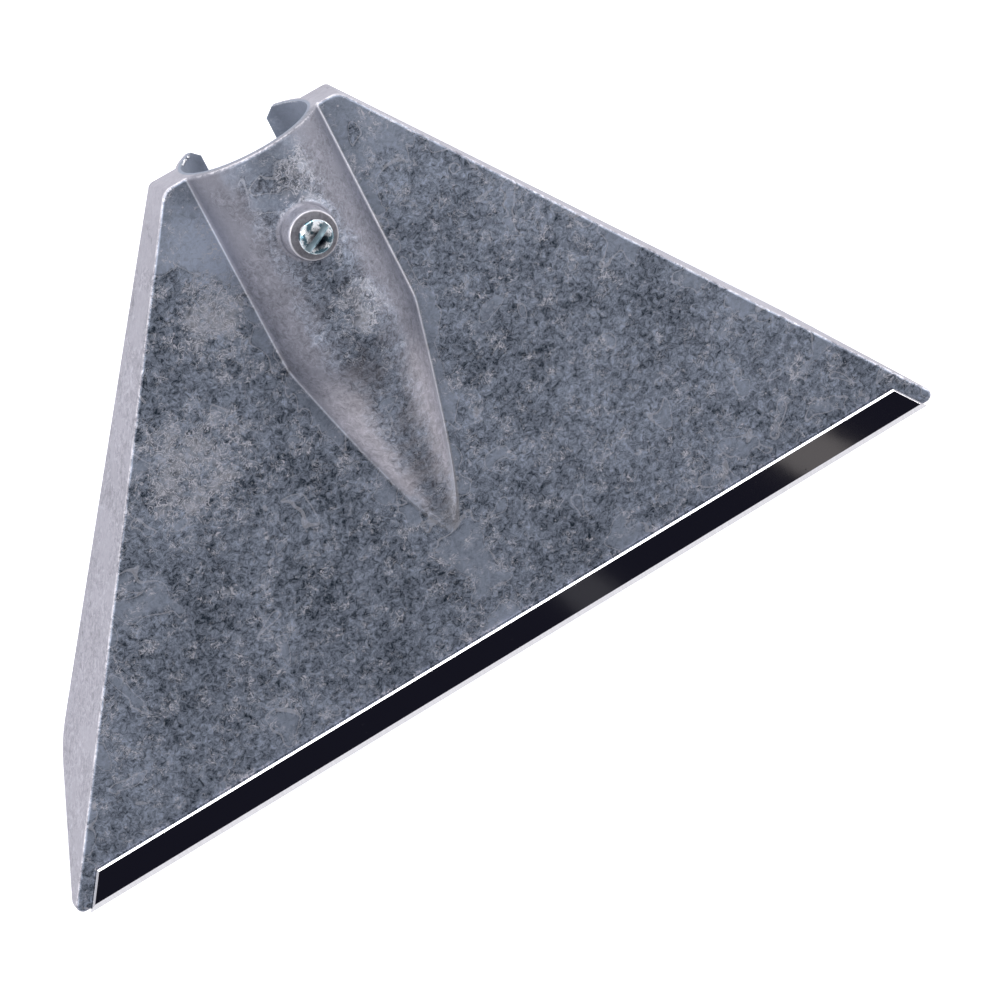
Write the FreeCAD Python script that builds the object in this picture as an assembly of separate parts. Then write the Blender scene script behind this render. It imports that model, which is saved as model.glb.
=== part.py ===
import FreeCAD, Part
import math
import os

# Scraper head for a long pole: a cast pan with a tapered pole socket, a clamp screw in a boss on
# the socket, and a steel blade let into the wide edge and held by studs peened over behind it.
#
# Frame, mm: the origin is the centre of the socket's mouth. +Y leaves the socket along the pole,
# +Z points out of the smooth front face, and +X runs along the blade.

# Pole socket
POLE_DIAMETER = 28.0
POLE_CLEARANCE = 0.15        # radial, pole to socket
SOCKET_DEPTH = 45.0
SOCKET_WALL = 2.0
NOSE_ANGLE = 12.5            # slope of the socket's tapering end, degrees
NOSE_BLEND_RADIUS = 31.0

# Ears that carry the socket round behind the face
EAR_LENGTH = 41.0
EAR_WALL = 1.2
EAR_WRAP = 57.0              # how far each ear reaches below the socket's widest line, degrees
EAR_CORNER_WRAP = 47.5       # the same at the ear's chamfered ends, degrees
EAR_CORNER_LENGTH = 2.0

# Cast pan
FACE_HEIGHT = 5.8            # front face above the socket's axis
BODY_LENGTH = 124.6
END_WIDTH = 40.2
SIDE_ANGLE = 35.2            # each side edge from the socket's axis, degrees
PLATE_THICKNESS = 2.5
SIDE_WALL = 2.2
END_WALL = 2.6
END_DEPTH = 10.7             # side wall's depth at the narrow end
HEEL_DEPTH = 25.6            # and at its deepest point, the heel
HEEL_SETBACK = 25.6          # heel's distance from the front edge
HEEL_RADIUS = 9.0
TOE_SETBACK = 1.0            # where the side walls run out, from the front edge
TOE_RADIUS = 1.5
DRAFT_ANGLE = 2.5            # side walls lean outwards, degrees
END_CORNER_RADIUS = 3.8      # at the face
BACK_CORNER_RADIUS = 1.6     # the same corners where the end wall stops
FRONT_CORNER_RADIUS = 1.6
FACE_EDGE_RADIUS = 0.65
CAVITY_RADIUS = 1.5
CAVITY_CORNER_RADIUS = 2.0
CREASE_RADIUS = 0.5
LAND_THICKNESS = 1.0         # thicker strip behind the blade
LAND_WIDTH = 13.0
LIP_THICKNESS = 2.2          # casting under the blade's overhanging edge, face to back

# Boss and clamp screw
BOSS_SETBACK = 18.8          # boss centre from the mouth
BOSS_HEIGHT = 5.1            # above the socket's outside
BOSS_TOP_RADIUS = 5.05
BOSS_DRAFT = 4.0             # degrees
BOSS_RIM_RADIUS = 0.35
BOSS_FILLET = 1.2
THREAD_DIAMETER = 4.0
THREAD_CLEARANCE = 0.05      # radial
SCREW_STANDOFF = 0.9         # head's underside above the boss
TIP_GAP = 0.05               # screw's tip to the pole space
SCREW_TIP_CHAMFER = 0.7
HEAD_DIAMETER = 7.0
HEAD_HEIGHT = 2.1
HEAD_SIDE = 0.9              # height of the head's straight side
SLOT_WIDTH = 1.3
SLOT_DEPTH = 1.0
SLOT_TURN = 26.0             # direction of the slot from +X, degrees

# Blade and its studs
BLADE_WIDTH = 7.85           # back edge to cutting edge
BLADE_OVERHANG = 0.65        # cutting edge past the casting's front edge
BLADE_PROUD = 1.2            # above the front face
BLADE_SEAT_DEPTH = 1.0       # let into the front face
BLADE_END_MARGIN = 3.24      # from the side edge, square to it
BLADE_SEAT_CLEARANCE = 0.05
BEVEL_WIDTH = 1.6
CUTTING_LAND = 1.1
BLADE_CHAMFER = 0.3
STUD_COUNT = 5
STUD_DIAMETER = 3.0
STUD_CLEARANCE = 0.05
STUD_HEAD_DIAMETER = 4.4
STUD_HEAD_HEIGHT = 1.1
STUD_HEAD_RADIUS = 0.9       # rounding of the peened head
STUD_END_DISTANCE = 12.0     # outer studs from the blade's ends
STUD_BACK_DISTANCE = 2.2     # studs from the blade's back edge

# Worked out from the sizes above
BORE_RADIUS = POLE_DIAMETER / 2 + POLE_CLEARANCE
SOCKET_RADIUS = BORE_RADIUS + SOCKET_WALL
EAR_RADIUS = BORE_RADIUS + EAR_WALL
BOSS_TOP = SOCKET_RADIUS + BOSS_HEIGHT
SCREW_LENGTH = BOSS_TOP + SCREW_STANDOFF - BORE_RADIUS - TIP_GAP
PLATE_BACK = FACE_HEIGHT - PLATE_THICKNESS
LAND_BACK = PLATE_BACK - LAND_THICKNESS
LIP_BACK = FACE_HEIGHT - LIP_THICKNESS
SEAT_FLOOR = FACE_HEIGHT - BLADE_SEAT_DEPTH
BLADE_TOP = FACE_HEIGHT + BLADE_PROUD
BLADE_EDGE_Y = -(BODY_LENGTH + BLADE_OVERHANG)
BLADE_BACK_Y = BLADE_EDGE_Y + BLADE_WIDTH
STUD_Y = BLADE_BACK_Y - STUD_BACK_DISTANCE
SLOPE = math.tan(math.radians(SIDE_ANGLE))
MARGIN = 5.0                 # how far cutting tools run past what they cut
TOLERANCE = 1e-4


def half_width(y, outset=0.0):
    """Half the plan width at y, with the side edge moved outwards by outset, square to itself."""
    return END_WIDTH / 2 - y * SLOPE + outset / math.cos(math.radians(SIDE_ANGLE))


def vec(x, y, z):
    return FreeCAD.Vector(x, y, z)


def rounded_wire(points, radii):
    """Closed wire through points, with each corner rounded by an arc of its radius."""
    edges = []
    starts = []
    count = len(points)
    for i in range(count):
        corner = points[i]
        back = (points[i - 1] - corner).normalize()
        ahead = (points[(i + 1) % count] - corner).normalize()
        half = back.getAngle(ahead) / 2
        radius = radii[i]
        if radius == 0:
            starts.append((corner, corner, None))
            continue
        reach = radius / math.tan(half)
        middle = corner + (back + ahead).normalize() * (radius / math.sin(half) - radius)
        starts.append((corner + back * reach, corner + ahead * reach, middle))
    for i in range(count):
        first, last, middle = starts[i]
        if middle is not None:
            edges.append(Part.Arc(first, middle, last).toShape())
        edges.append(Part.LineSegment(last, starts[(i + 1) % count][0]).toShape())
    return Part.Wire(edges)


def plan_wire(z, outset, end_y, front_y, end_radius, front_radius):
    """The pan's outline at height z, with rounded corners."""
    near = half_width(end_y, outset)
    far = half_width(front_y, outset)
    corners = [vec(-near, end_y, z), vec(near, end_y, z), vec(far, front_y, z), vec(-far, front_y, z)]
    return rounded_wire(corners, [end_radius, end_radius, front_radius, front_radius])


def drafted_block(sections, inset, end_y, front_y, front_radius):
    """Solid with walls that lean outwards, through sections: pairs of a height and an end corner radius."""
    lean = math.tan(math.radians(DRAFT_ANGLE))
    wires = []
    for z, end_radius in sections:
        outset = (FACE_HEIGHT - z) * lean - inset
        wires.append(plan_wire(z, outset, end_y, front_y, end_radius, front_radius))
    return Part.makeLoft(wires, True, True)


def side_profile():
    """Prism across the part with the side walls' shape as seen along X."""
    reach = half_width(-BODY_LENGTH) + MARGIN + HEEL_DEPTH
    heel_y = HEEL_SETBACK - BODY_LENGTH
    toe_y = TOE_SETBACK - BODY_LENGTH
    points = [
        vec(-reach, 0, FACE_HEIGHT),
        vec(-reach, -BODY_LENGTH, FACE_HEIGHT),
        vec(-reach, -BODY_LENGTH, LIP_BACK),
        vec(-reach, toe_y, LIP_BACK),
        vec(-reach, heel_y, FACE_HEIGHT - HEEL_DEPTH),
        vec(-reach, 0, FACE_HEIGHT - END_DEPTH),
    ]
    face = Part.Face(rounded_wire(points, [0, 0, 0, TOE_RADIUS, HEEL_RADIUS, 0]))
    return face.extrude(vec(2 * reach, 0, 0))


def edges_at_height(shape, z):
    """Edges of shape that lie wholly at height z."""
    box_of = [(edge, edge.BoundBox) for edge in shape.Edges]
    return [e for e, b in box_of if abs(b.ZMin - z) < TOLERANCE and abs(b.ZMax - z) < TOLERANCE]


def pan_block():
    """The pan's outside, not yet hollowed."""
    sections = [
        (FACE_HEIGHT, END_CORNER_RADIUS),
        (FACE_HEIGHT - END_DEPTH, BACK_CORNER_RADIUS),
        (FACE_HEIGHT - HEEL_DEPTH - MARGIN, BACK_CORNER_RADIUS),
    ]
    block = drafted_block(sections, 0, 0, -BODY_LENGTH, FRONT_CORNER_RADIUS)
    return block.common(side_profile()).removeSplitter()


def cavity():
    """The hollow behind the face, open at the back and at the front."""
    heights = (PLATE_BACK, FACE_HEIGHT - HEEL_DEPTH - MARGIN)
    sections = [(z, CAVITY_CORNER_RADIUS) for z in heights]
    tool = drafted_block(sections, SIDE_WALL, -END_WALL, -BODY_LENGTH - MARGIN, 0)
    return tool.makeFillet(CAVITY_RADIUS, edges_at_height(tool, PLATE_BACK))


def blade_land(block):
    """Thicker strip behind the blade, from wall to wall."""
    width = 2 * half_width(-BODY_LENGTH)
    strip = Part.makeBox(width, LAND_WIDTH, LAND_THICKNESS + PLATE_THICKNESS / 2)
    strip.translate(vec(-width / 2, -BODY_LENGTH, LAND_BACK))
    return strip.common(block)


def turned(points, origin, axis, radii):
    """Solid of revolution of a closed outline about axis, its corners rounded by radii."""
    return Part.Face(rounded_wire(points, radii)).revolve(origin, axis, 360)


def socket_form(radius, mouth_y, depth, end_radius, blend):
    """Round form about the pole's axis: a cylinder and then a cone that narrows to end_radius."""
    taper = (radius - end_radius) / math.tan(math.radians(NOSE_ANGLE))
    points = [
        vec(0, mouth_y, 0),
        vec(0, mouth_y, radius),
        vec(0, -depth, radius),
        vec(0, -depth - taper, end_radius),
        vec(0, -depth - taper, 0),
    ]
    return turned(points, vec(0, 0, 0), vec(0, 1, 0), [0, 0, blend, 0, 0])


def bulge():
    """The socket's outside where it stands out of the front face."""
    outer_depth = SOCKET_DEPTH + SOCKET_WALL * math.tan(math.radians(NOSE_ANGLE / 2))
    root = FACE_HEIGHT - PLATE_THICKNESS / 2
    form = socket_form(SOCKET_RADIUS, 0, outer_depth, root, NOSE_BLEND_RADIUS)
    above = Part.makeBox(4 * SOCKET_RADIUS, 2 * BODY_LENGTH, 2 * SOCKET_RADIUS)
    above.translate(vec(-2 * SOCKET_RADIUS, -2 * BODY_LENGTH, root))
    return form.common(above)


def bore():
    """Space for the pole, ending in a taper that stops it and runs out below the plate."""
    return socket_form(BORE_RADIUS, MARGIN, SOCKET_DEPTH, PLATE_BACK / 2, 0)


def gap_wire(y, wrap):
    """Triangle, at y, of the gap between the two ears."""
    reach = 2 * EAR_RADIUS
    angle = math.radians(wrap)
    x = reach * math.cos(angle)
    z = -reach * math.sin(angle)
    return Part.makePolygon([vec(0, y, 0), vec(x, y, z), vec(-x, y, z), vec(0, y, 0)])


def ears():
    """The part of the socket behind the face, with the open gap and its chamfered corners."""
    ring = Part.makeCylinder(EAR_RADIUS, EAR_LENGTH, vec(0, -EAR_LENGTH, 0), vec(0, 1, 0))
    behind = Part.makeBox(4 * EAR_RADIUS, EAR_LENGTH, 2 * EAR_RADIUS)
    behind.translate(vec(-2 * EAR_RADIUS, -EAR_LENGTH, PLATE_BACK - 2 * EAR_RADIUS + PLATE_THICKNESS / 2))
    ring = ring.common(behind)
    gap = Part.makeLoft([gap_wire(MARGIN, EAR_WRAP), gap_wire(-EAR_LENGTH - MARGIN, EAR_WRAP)], True, True)
    near = Part.makeLoft([gap_wire(0, EAR_CORNER_WRAP), gap_wire(-EAR_CORNER_LENGTH, EAR_WRAP)], True, True)
    far_start = gap_wire(EAR_CORNER_LENGTH - EAR_LENGTH, EAR_WRAP)
    far = Part.makeLoft([far_start, gap_wire(-EAR_LENGTH, EAR_CORNER_WRAP)], True, True)
    return ring.cut(gap).cut(near).cut(far)


def boss():
    """Raised round boss for the clamp screw, with a rounded rim."""
    foot = SOCKET_RADIUS - SOCKET_WALL / 2 - SCREW_TIP_CHAMFER
    foot_radius = BOSS_TOP_RADIUS + (BOSS_TOP - foot) * math.tan(math.radians(BOSS_DRAFT))
    y = -BOSS_SETBACK
    points = [
        vec(0, y, foot),
        vec(foot_radius, y, foot),
        vec(BOSS_TOP_RADIUS, y, BOSS_TOP),
        vec(0, y, BOSS_TOP),
    ]
    return turned(points, vec(0, y, 0), vec(0, 0, 1), [0, 0, BOSS_RIM_RADIUS, 0])


def screw_hole():
    radius = THREAD_DIAMETER / 2 + THREAD_CLEARANCE
    return Part.makeCylinder(radius, BOSS_TOP + MARGIN, vec(0, -BOSS_SETBACK, 0))


def blade_plan(bottom, top, growth):
    """Prism of the blade's outline from above, grown by a clearance."""
    back = BLADE_BACK_Y + growth
    front = BLADE_EDGE_Y - MARGIN
    near = half_width(back, growth - BLADE_END_MARGIN)
    far = half_width(front, growth - BLADE_END_MARGIN)
    corners = [
        vec(-near, back, bottom),
        vec(near, back, bottom),
        vec(far, front, bottom),
        vec(-far, front, bottom),
    ]
    return Part.Face(rounded_wire(corners, [0] * 4)).extrude(vec(0, 0, top - bottom))


def stud_centres():
    """X positions of the studs, evenly spaced along the blade."""
    reach = half_width(BLADE_BACK_Y, -BLADE_END_MARGIN) - STUD_END_DISTANCE
    step = 2 * reach / (STUD_COUNT - 1)
    return [-reach + i * step for i in range(STUD_COUNT)]


def crease_edges(shape):
    """Where the bulge meets the front face."""
    found = []
    for edge in edges_at_height(shape, FACE_HEIGHT):
        box = edge.BoundBox
        if max(abs(box.XMin), abs(box.XMax)) < SOCKET_RADIUS:
            found.append(edge)
    return found


def boss_foot_edges(shape):
    """Where the boss meets the socket's outside."""
    reach = BOSS_TOP_RADIUS + BOSS_FILLET
    found = []
    for edge in shape.Edges:
        box = edge.BoundBox
        beside = max(abs(box.XMin), abs(box.XMax)) < reach
        along = abs(box.YMin + BOSS_SETBACK) < reach and abs(box.YMax + BOSS_SETBACK) < reach
        high = box.ZMin > SOCKET_RADIUS - BOSS_FILLET and box.ZMax < BOSS_TOP - BOSS_RIM_RADIUS * 2
        if beside and along and high:
            found.append(edge)
    return found


def outer_rim_edges(shape):
    """The front face's rim, from one front corner round to the other, up to the socket's mouth."""
    found = []
    for edge in edges_at_height(shape, FACE_HEIGHT):
        box = edge.BoundBox
        at_end = box.YMin > -TOLERANCE
        outside = max(abs(box.XMin), abs(box.XMax)) > SOCKET_RADIUS + 2 * CREASE_RADIUS
        behind_front = box.YMax > FRONT_CORNER_RADIUS - BODY_LENGTH
        if at_end or (outside and behind_front):
            found.append(edge)
    return found


def cast_body():
    """The one-piece casting: pan, socket, ears and boss, with its holes and the blade's seat."""
    block = pan_block()
    skin = block.fuse(bulge()).removeSplitter()
    skin = skin.makeFillet(CREASE_RADIUS, crease_edges(skin))
    skin = skin.fuse(boss())
    skin = skin.makeFillet(BOSS_FILLET, boss_foot_edges(skin))
    skin = skin.makeFillet(FACE_EDGE_RADIUS, outer_rim_edges(skin))
    body = skin.cut(cavity()).fuse([blade_land(block), ears()])
    body = body.cut(bore()).cut(screw_hole())
    body = body.cut(blade_plan(SEAT_FLOOR, BLADE_TOP, BLADE_SEAT_CLEARANCE))
    for x in stud_centres():
        radius = STUD_DIAMETER / 2 + STUD_CLEARANCE
        body = body.cut(Part.makeCylinder(radius, 2 * FACE_HEIGHT, vec(x, STUD_Y, LAND_BACK - MARGIN)))
    return body.removeSplitter()


def blade():
    """Flat strip with a ground bevel, its ends cut parallel to the casting's sides."""
    reach = half_width(BLADE_EDGE_Y)
    section = [
        vec(-reach, BLADE_BACK_Y, SEAT_FLOOR),
        vec(-reach, BLADE_BACK_Y, BLADE_TOP),
        vec(-reach, BLADE_EDGE_Y + BEVEL_WIDTH, BLADE_TOP),
        vec(-reach, BLADE_EDGE_Y, SEAT_FLOOR + CUTTING_LAND),
        vec(-reach, BLADE_EDGE_Y, SEAT_FLOOR),
    ]
    strip = Part.Face(rounded_wire(section, [0] * len(section))).extrude(vec(2 * reach, 0, 0))
    strip = strip.common(blade_plan(SEAT_FLOOR, BLADE_TOP, 0))
    top = edges_at_height(strip, BLADE_TOP)
    rear = [e for e in top if e.BoundBox.YMax > BLADE_BACK_Y - TOLERANCE]
    return strip.makeChamfer(BLADE_CHAMFER, rear)


def blade_studs():
    """Studs welded to the blade's back and peened over behind the land."""
    shank = STUD_DIAMETER / 2
    head = STUD_HEAD_DIAMETER / 2
    studs = []
    for x in stud_centres():
        top = vec(x, STUD_Y, SEAT_FLOOR)
        points = [
            top,
            top + vec(shank, 0, 0),
            vec(x + shank, STUD_Y, LAND_BACK),
            vec(x + head, STUD_Y, LAND_BACK),
            vec(x + head, STUD_Y, LAND_BACK - STUD_HEAD_HEIGHT),
            vec(x, STUD_Y, LAND_BACK - STUD_HEAD_HEIGHT),
        ]
        studs.append(turned(points, top, vec(0, 0, 1), [0, 0, 0, 0, STUD_HEAD_RADIUS, 0]))
    return Part.Compound(studs)


def clamp_screw():
    """Slotted pan-head screw, its tip just clear of the pole space."""
    seat = BOSS_TOP + SCREW_STANDOFF
    y = -BOSS_SETBACK
    radius = THREAD_DIAMETER / 2
    tip = seat - SCREW_LENGTH
    side_top = vec(HEAD_DIAMETER / 2, y, seat + HEAD_SIDE)
    crown = vec(0, y, seat + HEAD_HEIGHT)
    drop = HEAD_HEIGHT - HEAD_SIDE
    dome_radius = ((HEAD_DIAMETER / 2) ** 2 + drop ** 2) / (2 * drop)
    lift = math.asin(HEAD_DIAMETER / 2 / dome_radius) / 2
    dome_middle = vec(dome_radius * math.sin(lift), y, crown.z - dome_radius * (1 - math.cos(lift)))
    corners = [
        crown,
        vec(0, y, tip),
        vec(radius - SCREW_TIP_CHAMFER, y, tip),
        vec(radius, y, tip + SCREW_TIP_CHAMFER),
        vec(radius, y, seat),
        vec(HEAD_DIAMETER / 2, y, seat),
        side_top,
    ]
    edges = [Part.LineSegment(a, b).toShape() for a, b in zip(corners, corners[1:])]
    edges.append(Part.Arc(side_top, dome_middle, crown).toShape())
    form = Part.Face(Part.Wire(edges)).revolve(vec(0, y, 0), vec(0, 0, 1), 360)
    slot = Part.makeBox(HEAD_DIAMETER * 2, SLOT_WIDTH, HEAD_HEIGHT)
    slot.translate(vec(-HEAD_DIAMETER, y - SLOT_WIDTH / 2, seat + HEAD_HEIGHT - SLOT_DEPTH))
    slot.rotate(vec(0, y, 0), vec(0, 0, 1), SLOT_TURN)
    return form.cut(slot)


PARTS = {
    "cast_body": cast_body,
    "blade": blade,
    "blade_studs": blade_studs,
    "clamp_screw": clamp_screw,
}

os.makedirs("parts", exist_ok=True)
for name, make in PARTS.items():
    shape = make()
    print(name, "solids", len(shape.Solids), "volume mm3", round(shape.Volume), "valid", shape.isValid())
    shape.exportStep("parts/" + name + ".step")
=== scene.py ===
import bpy
import bmesh
import math
import random
from mathutils import Matrix, Vector


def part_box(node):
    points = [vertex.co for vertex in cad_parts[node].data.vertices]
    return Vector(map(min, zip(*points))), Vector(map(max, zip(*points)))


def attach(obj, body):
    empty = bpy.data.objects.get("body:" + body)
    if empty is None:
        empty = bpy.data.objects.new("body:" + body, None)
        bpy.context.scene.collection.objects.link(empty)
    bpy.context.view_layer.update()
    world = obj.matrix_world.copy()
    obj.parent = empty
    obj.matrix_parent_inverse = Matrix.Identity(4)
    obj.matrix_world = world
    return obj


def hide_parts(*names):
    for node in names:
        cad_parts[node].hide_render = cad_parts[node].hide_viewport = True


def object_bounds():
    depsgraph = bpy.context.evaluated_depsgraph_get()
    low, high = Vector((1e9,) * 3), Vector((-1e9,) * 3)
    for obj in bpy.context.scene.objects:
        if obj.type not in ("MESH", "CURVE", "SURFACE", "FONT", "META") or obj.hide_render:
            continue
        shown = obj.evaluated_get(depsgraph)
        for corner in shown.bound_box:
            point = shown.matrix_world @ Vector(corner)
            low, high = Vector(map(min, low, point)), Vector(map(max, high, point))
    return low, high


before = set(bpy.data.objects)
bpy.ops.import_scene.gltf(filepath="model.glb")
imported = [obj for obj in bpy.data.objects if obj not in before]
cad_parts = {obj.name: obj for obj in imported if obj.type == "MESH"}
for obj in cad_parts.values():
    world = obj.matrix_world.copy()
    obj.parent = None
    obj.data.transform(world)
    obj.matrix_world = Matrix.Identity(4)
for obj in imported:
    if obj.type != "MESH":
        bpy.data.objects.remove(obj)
cad_low, cad_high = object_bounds()

MM = 0.001
blade_low, blade_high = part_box("blade")
screw_low, screw_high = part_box("clamp_screw")
studs_low, studs_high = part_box("blade_studs")

# The casting, mm and degrees
FACE_HEIGHT = 5.8            # front face above the socket's axis
END_WIDTH = 40.2
SIDE_ANGLE = 35.2            # each side edge from the socket's axis
SOCKET_RADIUS = 16.15
SOCKET_DEPTH = 45.2          # where the bulge starts to narrow
NOSE_ANGLE = 12.5
NOSE_RUN = 50                # length over which the narrowing is worked out
PLATE_BACK = 3.3
BORE_RADIUS = 14.15
BOSS_TOP_RADIUS = 5.05

# The screw, mm
SCREW_Y = (screw_low.y + screw_high.y) / 2 / MM
SCREW_TIP = screw_low.z / MM
HEAD_SEAT = 22.15            # underside of the head
HEAD_SIDE = 0.9
HEAD_CROWN = 24.2
HEAD_RINGS = 12
HEAD_RADIUS = 3.5
THREAD_RADIUS = 2.0
THREAD_DEPTH = 0.43
THREAD_PITCH = 0.7
THREAD_CREST = 0.1
THREAD_FOOT = 0.88           # share of the pitch that the ridge's foot takes
THREAD_SUNK = 0.08           # how far the ridge reaches into the core
THREAD_START = 0.75          # above the tip
THREAD_RUNOUT = 0.9          # least plain length, at both ends together
SHANK_OVERLAP = 0.2          # how far the core reaches into the head
TIP_CHAMFER = 0.35
HEAD_RIM_BEVEL = 0.07
SLOT_WIDTH = 1.3
SLOT_DEPTH = 1.0
SLOT_TURN = 26.0             # degrees from +X
SLOT_ABOVE = 0.5             # how far the slot's cutter stands out of the crown

# The blade and its studs, mm
BLADE_BEVEL = 1.6
BLADE_CUTTING_LAND = 1.1
BLADE_CHAMFER = 0.35
BLADE_EDGE_BREAK = 0.04
STUD_COUNT = 5
STUD_HEAD_RADIUS = 2.2
STUD_RADIUS = 1.5
STUD_HEAD_HEIGHT = 1.1
STUD_ROUNDING = 0.8
STUD_BLOW_HEIGHT = 0.12      # how far outside the head's underside a blow of no depth would lie
STUD_BLOW_REACH = 0.45       # how far out a blow falls, as a share of the head's radius
# Degrees round the head, degrees of tilt, and depth of each blow
STUD_BLOWS = ((20, 14, 0.16), (150, 17, 0.2), (265, 12, 0.13), (85, 24, 0.42), (320, 22, 0.36))
STUD_TURN = 77               # from each stud to the next, so that no two look alike

# Marks left by casting and use, mm and degrees
# Middle and radius of each rubbed patch
RUBBED_PATCHES = (((-41, -54, 6), 17), ((-24, -27, 6), 11), ((3, -38, 15), 8), ((5, -9, 15), 9))
EJECTOR_RADIUS = 3.0
EJECTOR_THICKNESS = 0.4
EJECTOR_BORDER = 0.3
EJECTOR_LIP = 0.08           # width of the step from the border down to the middle
EJECTOR_SUNK = 0.14
EJECTOR_EDGE_BREAK = 0.05
# One place of each pair of pins; the other is mirrored in X
EJECTOR_PLACES = ((25, -26), (27, -56), (46, -56), (24, -92), (48, -92), (72, -92))
SCAR_FROM = 25               # how far below the socket's widest line the scar starts
SCAR_TO = 44
SCAR_CHIPS = 9
SCAR_PLANE = -0.02           # just behind the ear's end
SCAR_ROUGHNESS = 0.35        # how far a chip's corners stray, as a share of its size

BISECT_SNAP = 0.0001         # mm; a coarser one would pull near corners onto the cutting plane
CLOSE = 1e-6                 # m; corners this near a height lie at it


# ---------------------------------------------------------------- camera

AIM_X = 11.5                 # mm
AIM_FROM_EDGE = 32.2         # mm behind the cutting edge
CAMERA_AZIMUTH = 203.45
CAMERA_ELEVATION = 66.42
CAMERA_ROLL = 127.46
CAMERA_DISTANCE = 708.07     # mm
CAMERA_LENS = 122.1          # mm, on a 36 mm sensor


def direction(azimuth, elevation):
    """Unit vector from the object towards a viewer at that azimuth and elevation, in degrees."""
    a = math.radians(azimuth)
    e = math.radians(elevation)
    return Vector((math.sin(a) * math.cos(e), -math.cos(a) * math.cos(e), math.sin(e)))


def make_camera():
    """Camera at a distance from a point on the face near the blade, rolled about its line of sight."""
    aim = Vector((AIM_X, blade_low.y / MM + AIM_FROM_EDGE, FACE_HEIGHT)) * MM
    back = direction(CAMERA_AZIMUTH, CAMERA_ELEVATION)
    camera = bpy.data.objects.new("camera", bpy.data.cameras.new("camera"))
    bpy.context.scene.collection.objects.link(camera)
    camera.data.lens = CAMERA_LENS
    camera.location = aim + back * CAMERA_DISTANCE * MM
    camera.rotation_mode = "QUATERNION"
    roll = Matrix.Rotation(math.radians(CAMERA_ROLL), 3, back).to_quaternion()
    camera.rotation_quaternion = roll @ (-back).to_track_quat("-Z", "Y")
    bpy.context.scene.camera = camera


make_camera()
bpy.context.scene.view_settings.view_transform = "Standard"


# ---------------------------------------------------------------- node and colour tools

def hex_colour(code):
    """Linear colour of an sRGB hex code."""
    parts = [int(code[i:i + 2], 16) / 255 for i in (0, 2, 4)]
    return [p / 12.92 if p <= 0.04045 else ((p + 0.055) / 1.055) ** 2.4 for p in parts] + [1.0]


def per_size(mm):
    """Texture scale that makes one cell of a pattern this many millimetres wide."""
    return 1 / (mm * MM)


def add(tree, kind, inputs, **settings):
    """Adds a node with its settings, and gives its inputs values or links them to other outputs."""
    made = tree.nodes.new("ShaderNode" + kind)
    for name, value in settings.items():
        setattr(made, name, value)
    for name, value in inputs.items():
        if isinstance(value, bpy.types.Node):
            value = next(o for o in value.outputs if o.enabled)
        if isinstance(value, bpy.types.NodeSocket):
            tree.links.new(value, made.inputs[name])
        else:
            made.inputs[name].default_value = value
    return made


def new_material(name):
    """Empty material, its node tree and its texture coordinates."""
    material = bpy.data.materials.new(name)
    material.use_nodes = True
    material.node_tree.nodes.clear()
    return material, material.node_tree, add(material.node_tree, "TexCoord", {})


# ---------------------------------------------------------------- stage and lights

FLOOR_SIZE = 8.0
FLOOR_GLOW = 0.62
DARK_CENTRE = direction(19, 65)      # the unlit part of the room, over the object
CENTRE = (cad_low + cad_high) / 2


def make_floor():
    """Matt white sweep under the object, glowing a little so that it stays white."""
    bpy.ops.object.select_all(action="DESELECT")
    bpy.ops.mesh.primitive_plane_add(size=FLOOR_SIZE, location=(0, 0, cad_low.z))
    floor = bpy.context.object
    floor.name = "floor"
    material, tree, _ = new_material("matt_white_sweep")
    paper = add(tree, "BsdfPrincipled", {
        "Base Color": hex_colour("F2F2F4"),
        "Roughness": 0.9,
        "Emission Color": hex_colour("FFFFFF"),
        "Emission Strength": FLOOR_GLOW,
    })
    add(tree, "OutputMaterial", {"Surface": paper})
    floor.data.materials.append(material)


def make_world():
    """A pale tent, bright round the sides and open to a dark, slightly blue room overhead."""
    world = bpy.data.worlds.new("tent")
    bpy.context.scene.world = world
    world.use_nodes = True
    tree = world.node_tree
    tree.nodes.clear()
    coords = add(tree, "TexCoord", {})
    towards = add(tree, "VectorMath", {0: coords.outputs["Generated"], 1: DARK_CENTRE},
                  operation="DOT_PRODUCT")
    side = add(tree, "MapRange", {
        "Value": towards.outputs["Value"], "From Min": 0.965, "From Max": 0.50,
    }, interpolation_type="SMOOTHSTEP")
    colour = add(tree, "Mix", {
        0: side, 6: [0.0135, 0.0135, 0.023, 1.0], 7: [0.93, 0.93, 0.97, 1.0],
    }, data_type="RGBA")
    glow = add(tree, "Background", {"Color": colour})
    add(tree, "OutputWorld", {"Surface": glow})


def softbox(name, azimuth, elevation, distance, width, height, watts, colour, aim=CENTRE):
    """Rectangular area light that faces the middle of the object, or another point."""
    data = bpy.data.lights.new(name, "AREA")
    data.shape = "RECTANGLE"
    data.size = width
    data.size_y = height
    data.energy = watts
    data.color = hex_colour(colour)[:3]
    light = bpy.data.objects.new(name, data)
    bpy.context.scene.collection.objects.link(light)
    out = direction(azimuth, elevation)
    light.location = aim + out * distance
    light.rotation_mode = "QUATERNION"
    light.rotation_quaternion = (-out).to_track_quat("-Z", "Y")
    light.visible_camera = False


make_floor()
make_world()
softbox("key_softbox", 235, 38, 1.3, 0.6, 0.4, 5.5, "FFFFFF")
softbox("right_softbox", 95, 30, 1.4, 0.25, 0.9, 5, "FFFDFB")
softbox("back_softbox", 172, 24, 1.4, 0.9, 0.25, 6, "FFFFFF")
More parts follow.
